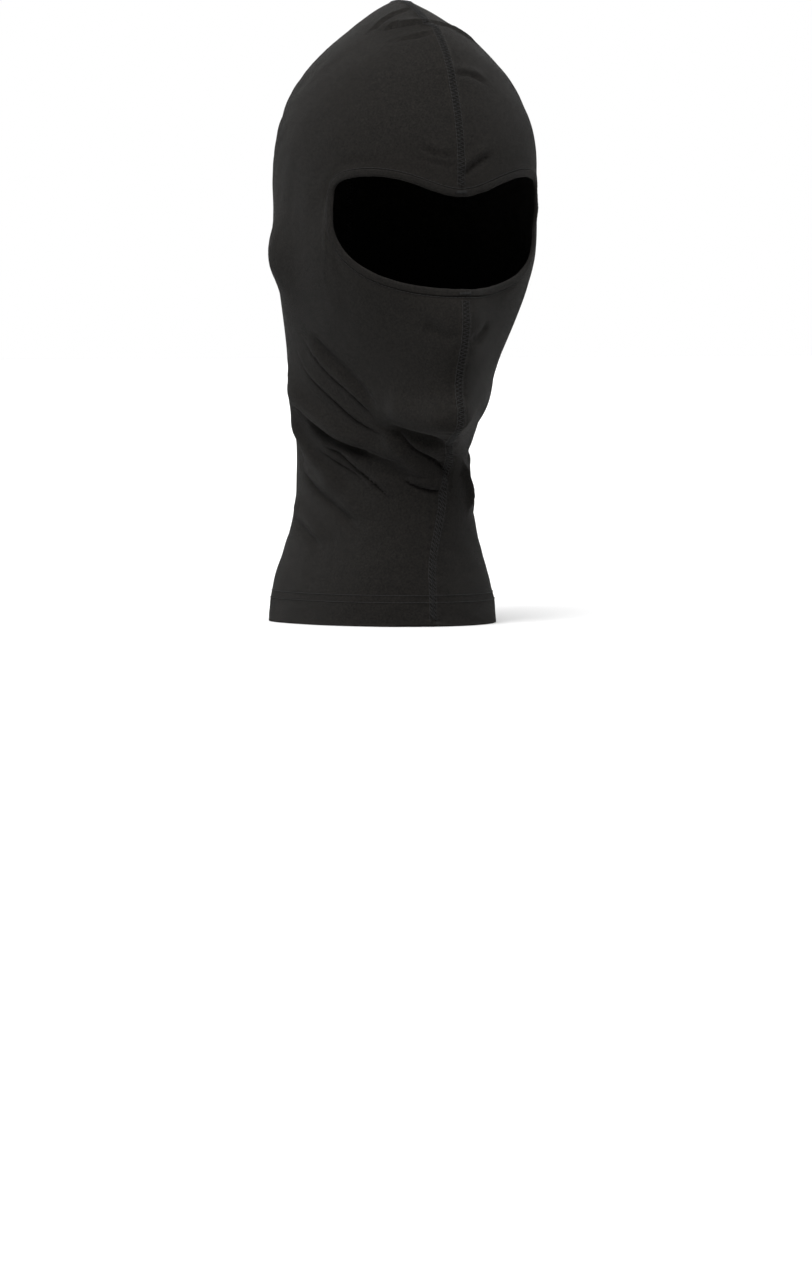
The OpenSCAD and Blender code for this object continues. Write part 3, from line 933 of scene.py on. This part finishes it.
def make_label():
    across, upwards = np.linspace(-1, 1, 25), np.linspace(0, 1, 33)
    grid = np.zeros((25, 33, 3))
    for i, a in enumerate(across):
        for j, b in enumerate(upwards):
            curl = 0.5 * MM * abs(a) ** 6 + 0.25 * MM * math.sin(5 * b + 2 * a)
            grid[i, j] = back_point(a * LABEL_WIDE / 2, LABEL_HIGH + (LABEL_LOW - LABEL_HIGH) * b,
                                    LABEL_IN + curl)
    sides = across * LABEL_WIDE / 2, upwards * (LABEL_HIGH - LABEL_LOW)
    flat = np.stack(np.meshgrid(*sides, indexing="ij"), axis=-1)
    label = mesh_of("blank_care_label", [dict(net=grid, uv=flat)])
    thick = label.modifiers.new("thickness", "SOLIDIFY")
    thick.thickness = 0.22 * MM
    thick.offset = -1
    return label


def label_row(z):
    xs = np.linspace(-LABEL_WIDE / 2 + 1.2 * MM, LABEL_WIDE / 2 - 1.2 * MM, 30)
    line = np.array([back_point(x, z, LABEL_IN + 0.35 * MM) for x in xs])
    up = unit(np.array([back_point(x, z, 1.0) for x in xs]) - line)
    return stitch_row(line, up)


label = make_label()
label_rows = [label_row(z) for z in (LABEL_LOW + LABEL_EDGE, LABEL_HIGH - LABEL_EDGE)]
label_stitches = mesh_of("label_stitches", label_rows)
print("label, mm:", round(LABEL_WIDE / MM), "x", round((LABEL_HIGH - LABEL_LOW) / MM))

# %% [markdown]
# ## Materials
# The knit is a matt charcoal single jersey: tiny V-shaped loops in upright wales, a faint
# heather, and a soft bloom at grazing angles from its fibres. It is a little lighter where hem
# edges and seams rub.

# %% Node helpers


class Nodes:
    """Short way to build a material's nodes."""

    def __init__(self, name):
        self.material = bpy.data.materials.new(name)
        self.material.use_nodes = True
        self.tree = self.material.node_tree
        self.shader = self.tree.nodes["Principled BSDF"]

    def add(self, kind, **values):
        node = self.tree.nodes.new(kind)
        for key, value in values.items():
            setattr(node, key, value)
        return node

    def put(self, value, socket):
        if isinstance(value, (int, float, tuple)):
            socket.default_value = value
        else:
            self.tree.links.new(value, socket)

    def math(self, operation, a, b=0.0, c=0.0):
        node = self.add("ShaderNodeMath", operation=operation)
        for value, socket in zip((a, b, c), node.inputs):
            self.put(value, socket)
        return node.outputs[0]

    def noise(self, vector, scale, detail=2.0):
        node = self.add("ShaderNodeTexNoise")
        self.put(vector, node.inputs["Vector"])
        node.inputs["Scale"].default_value = scale
        node.inputs["Detail"].default_value = detail
        return node.outputs["Fac"]

    def mix(self, fac, a, b):
        node = self.add("ShaderNodeMix", data_type="RGBA")
        self.put(fac, node.inputs["Factor"])
        self.put(a, node.inputs[6])
        self.put(b, node.inputs[7])
        return node.outputs[2]

    def bump(self, height, distance, strength, below=None):
        node = self.add("ShaderNodeBump")
        self.put(height, node.inputs["Height"])
        node.inputs["Distance"].default_value = distance
        node.inputs["Strength"].default_value = strength
        if below is not None:
            self.put(below, node.inputs["Normal"])
        return node.outputs["Normal"]

    def finish(self, color, roughness, normal, **plain):
        self.put(color, self.shader.inputs["Base Color"])
        self.put(roughness, self.shader.inputs["Roughness"])
        self.put(normal, self.shader.inputs["Normal"])
        for key, value in plain.items():
            self.shader.inputs[key.replace("_", " ")].default_value = value
        return self.material


def grey(level, warm=0.0):
    return (level * (1 + warm), level, level * (1 - warm), 1)


WARM_BLACK = 0.14


# %% The knit
WALE, COURSE = 0.62 * MM, 0.50 * MM


def knit_loops(n, flat):
    """Height of a field of V-shaped knit loops, 0 to 1."""
    parts = n.add("ShaderNodeSeparateXYZ")
    n.put(flat, parts.inputs[0])
    across = n.math("MULTIPLY", parts.outputs[0], 1 / WALE)
    upwards = n.math("MULTIPLY", parts.outputs[1], 1 / COURSE)
    off = n.math("ABSOLUTE", n.math("SUBTRACT", n.math("FRACT", across), 0.5))
    from_leg = n.math("ABSOLUTE", n.math("SUBTRACT", off, 0.25))
    leg = n.math("SUBTRACT", 1.0, n.math("MULTIPLY", from_leg, 4.0))
    slant = n.math("ADD", upwards, n.math("MULTIPLY", off, 1.3))
    loop = n.math("ABSOLUTE", n.math("SINE", n.math("MULTIPLY", slant, math.pi)))
    leg = n.math("POWER", n.math("MAXIMUM", leg, 0.0), 0.5)
    return n.math("MULTIPLY", leg, n.math("POWER", loop, 0.5))


def knit_material(name, level):
    n = Nodes(name)
    flat = n.add("ShaderNodeUVMap", uv_map="cloth").outputs[0]
    place = n.add("ShaderNodeTexCoord").outputs["Object"]
    loops = knit_loops(n, flat)
    heather = n.noise(place, 900.0, 3.0)
    cloudy = n.noise(place, 320.0, 3.0)
    fuzz = n.noise(place, 4200.0, 2.0)
    wear = n.add("ShaderNodeAttribute", attribute_name="wear").outputs["Fac"]
    shade = n.math("MULTIPLY_ADD", heather, 3.6, -1.3)
    shade = n.math("ADD", n.math("MULTIPLY", shade, 0.55), n.math("MULTIPLY", cloudy, 0.45))
    color = n.mix(shade, grey(level * 0.30, WARM_BLACK), grey(level * 1.70, WARM_BLACK))
    # Darker between the loops: partly the gaps in the knit, partly painted shade in the hollows between
    # them.
    color = n.mix(n.math("MULTIPLY", loops, 0.8), n.mix(0.45, color, grey(level * 0.3)), color)
    color = n.mix(n.math("MULTIPLY", wear, 0.25), color, grey(level * 1.9, WARM_BLACK))
    normal = n.bump(fuzz, 0.10 * MM, 0.35)
    normal = n.bump(loops, 0.22 * MM, 0.75, normal)
    rough = n.math("MULTIPLY_ADD", fuzz, 0.12, 0.82)
    return n.finish(color, rough, normal,
                    Specular_IOR_Level=0.16, Sheen_Weight=0.03, Sheen_Roughness=0.5)


# %% Thread, elastic and label
TWIST_PITCH = 0.3 * MM
WARP_PITCH, WEFT_PITCH = 0.22 * MM, 0.9 * MM


def thread_material(name, level, roughness=0.62):
    n = Nodes(name)
    place = n.add("ShaderNodeTexCoord").outputs["Object"]
    parts = n.add("ShaderNodeSeparateXYZ")
    n.put(place, parts.inputs[0])
    along = n.math("MULTIPLY_ADD", parts.outputs[2], 1.3, parts.outputs[1])
    along = n.math("MULTIPLY_ADD", parts.outputs[0], 1.6, along)
    twist = n.math("SINE", n.math("MULTIPLY", along, 2 * math.pi / TWIST_PITCH))
    fibre = n.noise(place, 5000.0, 2.0)
    color = n.mix(n.noise(place, 700.0, 2.0), grey(level * 0.75), grey(level * 1.3))
    color = n.mix(n.math("MULTIPLY_ADD", twist, 0.12, 0.12), color, grey(level * 0.5))
    normal = n.bump(n.math("MULTIPLY_ADD", twist, 0.5, n.math("MULTIPLY", fibre, 0.5)), 0.05 * MM, 0.5)
    rough = n.math("MULTIPLY_ADD", fibre, 0.15, roughness - 0.07)
    return n.finish(color, rough, normal,
                    Specular_IOR_Level=0.22, Sheen_Weight=0.035, Sheen_Roughness=0.4)


def satin_material(name, level):
    n = Nodes(name)
    flat = n.add("ShaderNodeUVMap", uv_map="cloth").outputs[0]
    place = n.add("ShaderNodeTexCoord").outputs["Object"]
    parts = n.add("ShaderNodeSeparateXYZ")
    n.put(flat, parts.inputs[0])
    turn = n.math("MULTIPLY", parts.outputs[0], math.pi / WARP_PITCH)
    warp = n.math("ABSOLUTE", n.math("SINE", turn))
    slanted = n.math("MULTIPLY_ADD", parts.outputs[0], 0.4, parts.outputs[1])
    weft = n.math("ABSOLUTE", n.math("SINE", n.math("MULTIPLY", slanted, math.pi / WEFT_PITCH)))
    weave = n.math("ADD", n.math("MULTIPLY", warp, 0.7), n.math("MULTIPLY", weft, 0.3))
    soil = n.noise(place, 180.0, 3.0)
    color = n.mix(soil, grey(level * 0.86, 0.02), grey(level, 0.01))
    # Lighter on the raised threads of the weave: painted highlight on them.
    color = n.mix(n.math("MULTIPLY", weave, 0.25), color, grey(level * 1.08, 0.01))
    normal = n.bump(weave, 0.05 * MM, 0.5)
    rough = n.math("MULTIPLY_ADD", soil, 0.12, 0.38)
    return n.finish(color, rough, normal, Sheen_Weight=0.1, Sheen_Roughness=0.4)


knit = knit_material("charcoal_knit", 0.0113)
binding_knit = knit_material("charcoal_binding_knit", 0.0113)
thread = thread_material("black_thread", 0.021)
# The bar tacks are the same black thread in a darker colour: painted shade in the dense zigzag.
tack_thread_painted_shade = thread_material("black_thread_painted_shade_for_tacks", 0.012)
pale_thread = thread_material("pale_label_thread", 0.30)
elastic_core = thread_material("elastic_core", 0.16, 0.7)
satin = satin_material("blank_satin", 0.55)

# %% Give each piece its finish and its body, and hide the CAD nodes it stands for
PIECES = [
    (left_panel, knit, "knit_cloth", ["left_panel"]),
    (right_panel, knit, "knit_cloth", ["right_panel"]),
    (eye_hem, binding_knit, "knit_binding", ["eye_hem_binding"]),
    (elastic, elastic_core, "elastic", ["eye_hem_elastic"]),
    (eye_stitches, thread, "sewing_thread", ["eye_hem_stitching"]),
    (crown_needles, thread, "sewing_thread", ["crown_seam_needle_threads"]),
    (crown_ladder, thread, "sewing_thread", ["crown_seam_cover_thread"]),
    (front_needles, thread, "sewing_thread", ["front_seam_needle_threads"]),
    (front_ladder, thread, "sewing_thread", ["front_seam_cover_thread"]),
    (upper_tack, tack_thread_painted_shade, "sewing_thread", ["upper_bar_tack"]),
    (lower_tack, tack_thread_painted_shade, "sewing_thread", ["lower_bar_tack"]),
    (neck_needles, thread, "sewing_thread", ["neck_hem_needle_threads"]),
    (neck_ladder, thread, "sewing_thread", ["neck_hem_cover_thread"]),
    (label, satin, "label_satin", ["care_label"]),
    (label_stitches, pale_thread, "sewing_thread", ["care_label_stitches"]),
]
for obj, material, slot, nodes in PIECES:
    obj.data.materials.append(material)
    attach(obj, "root")
    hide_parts(*nodes)
print("pieces:", len(PIECES))

# %% [markdown]
# ## Floor and light
# A pale floor that meets a pale background, and four soft suns: a strong one from the front and
# upper left, a strong one from nearly overhead, a weaker one from behind and a faint one from the
# right. The world is white where the camera sees it and gives only a little light, and the floor
# throws none back up, so that folds in the dark knit keep their shade.

# %% Floor, world and lights
AMBIENT = 0.18


def add_floor():
    bm = bmesh.new()
    bmesh.ops.create_grid(bm, x_segments=1, y_segments=1, size=12)
    mesh = bpy.data.meshes.new("floor")
    bm.to_mesh(mesh)
    bm.free()
    floor = bpy.data.objects.new("floor", mesh)
    bpy.context.scene.collection.objects.link(floor)
    n = Nodes("pale_floor")
    place = n.add("ShaderNodeTexCoord").outputs["Object"]
    color = n.mix(n.noise(place, 3.0), (0.90, 0.90, 0.90, 1), (0.93, 0.93, 0.93, 1))
    floor.data.materials.append(n.finish(color, 0.9, n.bump(n.noise(place, 40.0), 0.2 * MM, 0.1),
                                         Specular_IOR_Level=0.1))
    return floor


def add_sun(name, strength, spread, azimuth, elevation):
    """Even light from one direction. A large spread makes it as soft as a large studio lamp."""
    data = bpy.data.lights.new(name, "SUN")
    data.energy = strength
    data.angle = math.radians(spread)
    obj = bpy.data.objects.new(name, data)
    a, e = math.radians(azimuth), math.radians(elevation)
    towards = Vector((-math.sin(a) * math.cos(e), math.cos(a) * math.cos(e), -math.sin(e)))
    obj.rotation_mode = "QUATERNION"
    obj.rotation_quaternion = towards.to_track_quat("-Z", "Y")
    bpy.context.scene.collection.objects.link(obj)
    return obj


def add_world():
    """White where the camera sees it, and weaker as light, so that folds keep their shade."""
    world = bpy.data.worlds.new("studio")
    world.use_nodes = True
    tree = world.node_tree
    tree.nodes["Background"].inputs["Color"].default_value = (1, 1, 1, 1)
    path = tree.nodes.new("ShaderNodeLightPath")
    strength = tree.nodes.new("ShaderNodeMapRange")
    strength.inputs["To Min"].default_value = AMBIENT
    tree.links.new(path.outputs["Is Camera Ray"], strength.inputs["Value"])
    tree.links.new(strength.outputs[0], tree.nodes["Background"].inputs["Strength"])
    bpy.context.scene.world = world


floor = add_floor()
floor.visible_diffuse = False
add_world()
add_sun("key", 2.4, 34, -42, 42)
add_sun("fill", 0.30, 50, 40, 34)
add_sun("top", 2.1, 50, -20, 78)
add_sun("back", 1.0, 40, 160, 28)
bpy.context.scene.view_settings.view_transform = "Standard"
